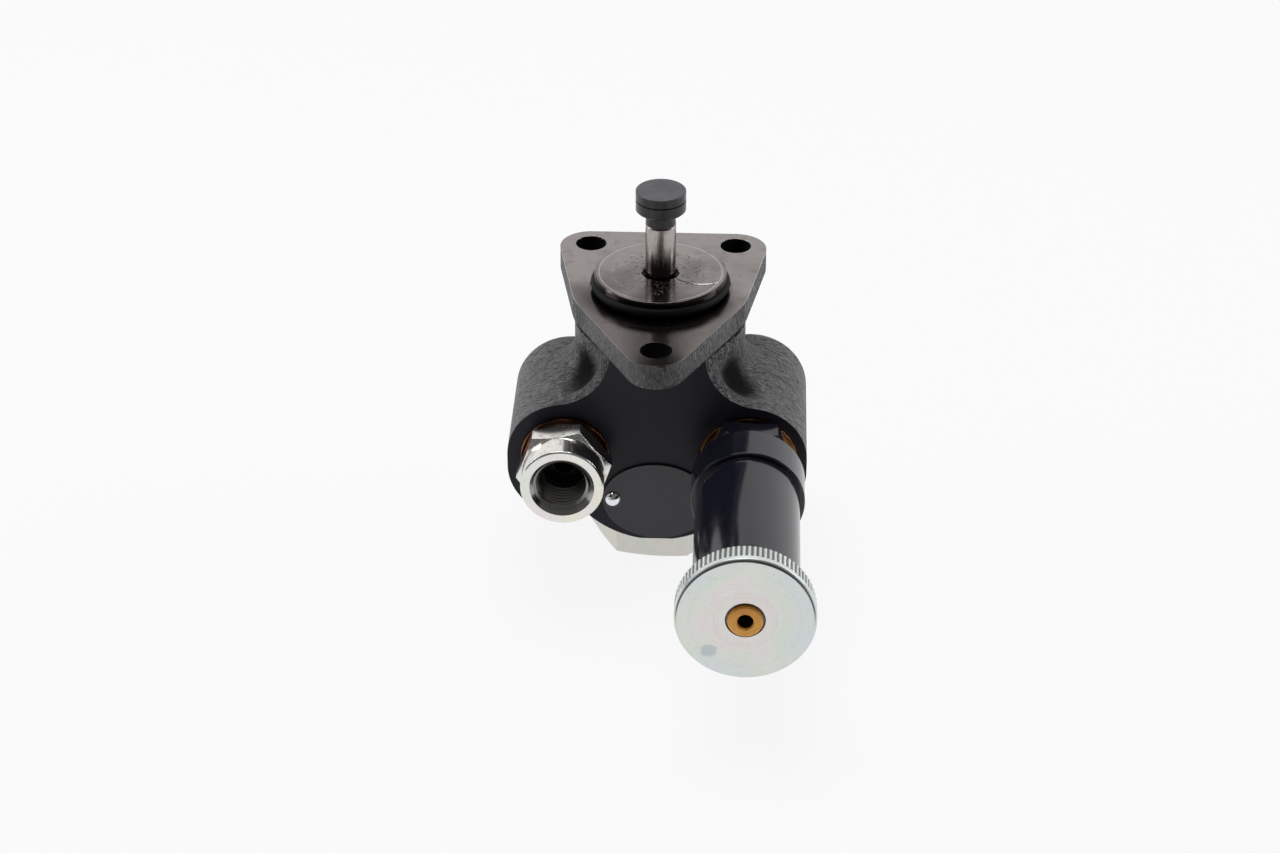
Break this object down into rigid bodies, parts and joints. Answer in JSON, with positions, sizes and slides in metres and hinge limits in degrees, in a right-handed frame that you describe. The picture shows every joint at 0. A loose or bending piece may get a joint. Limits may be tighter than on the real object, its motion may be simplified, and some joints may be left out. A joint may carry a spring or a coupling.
{
  "type": "fuel lift pump with hand primer",
  "caption": "Plunger fuel lift pump: cast housing on a three-hole flange, spring-loaded push rod, threaded outlet union and hand primer with a knurled knob.",
  "frame": {"origin": "centre of the locating pilot, on the flange's mounting face", "axes": "+Z out of the mounting face along the push rod, towards the engine's cam; -Y the front, where the outlet union and the hand primer point; +X to the right seen from the front"},
  "size_m": [0.0881, 0.1416, 0.1113],
  "materials": {
    "housing_paint": "black painted rough casting with machined faces",
    "black_rubber": "matt",
    "polished_steel": "ground and polished",
    "black_steel": "black oxide",
    "spring_steel": "drawn wire",
    "zinc_plate": "zinc plated, faint yellow passivation",
    "copper": "soft copper",
    "valve_plastic": "moulded",
    "black_gloss": "glossy black",
    "amber_plastic": "moulded amber",
    "satin_black": "satin black"
  },
  "bodies": {
    "housing": {"pump_housing": "housing_paint", "pilot_o_ring": "black_rubber", "rod_guide_bush": "polished_steel", "rod_seal": "black_rubber", "piston_spring": "spring_steel", "closing_plug": "zinc_plate", "closing_plug_washer": "copper", "outlet_union": "zinc_plate", "outlet_washer": "copper", "delivery_valve_seat": "polished_steel", "delivery_valve_spring": "spring_steel", "suction_valve_seat": "polished_steel", "suction_valve_spring": "spring_steel", "primer_barrel": "black_gloss", "primer_washer": "copper", "primer_guide_bush": "polished_steel", "primer_rod_seal": "black_rubber", "nameplate": "satin_black", "nameplate_rivets": "polished_steel"},
    "piston": {"pump_piston": "polished_steel"},
    "push_rod": {"push_rod": "polished_steel", "tappet_head": "black_steel"},
    "delivery_valve": {"delivery_valve": "valve_plastic"},
    "suction_valve": {"suction_valve": "valve_plastic"},
    "primer_plunger": {"primer_piston": "polished_steel", "primer_piston_seal": "black_rubber"},
    "primer_handle": {"primer_rod": "amber_plastic", "primer_rod_clip": "spring_steel", "primer_knob": "zinc_plate", "knob_ring": "black_steel"}
  },
  "joints": [
    {"name": "piston_stroke", "type": "slide", "parent": "housing", "child": "piston", "axis": [0, 0, -1], "range_m": [0, 0.008], "stiffness_N_per_m": 2000, "springref_m": -0.02, "deforming": ["piston_spring"]},
    {"name": "push_rod_stroke", "type": "slide", "parent": "housing", "child": "push_rod", "axis": [0, 0, -1], "range_m": [0, 0.008]},
    {"name": "delivery_valve_lift", "type": "slide", "parent": "housing", "child": "delivery_valve", "axis": [0, -1, 0], "range_m": [0, 0.0025], "stiffness_N_per_m": 200, "springref_m": -0.002, "deforming": ["delivery_valve_spring"]},
    {"name": "suction_valve_lift", "type": "slide", "parent": "housing", "child": "suction_valve", "axis": [0, -1, 0], "range_m": [0, 0.0025], "stiffness_N_per_m": 200, "springref_m": -0.002, "deforming": ["suction_valve_spring"]},
    {"name": "primer_stroke", "type": "slide", "parent": "housing", "child": "primer_plunger", "axis": [0, -1, 0], "range_m": [0, 0.036]},
    {"name": "knob_turn", "type": "hinge", "parent": "primer_plunger", "child": "primer_handle", "pos_m": [0.0262, -0.1036, -0.0415], "axis": [0, -1, 0], "continuous": true}
  ],
  "couplings": [
    {"joint": "push_rod_stroke", "follows": "piston_stroke", "ratio": 1}
  ]
}
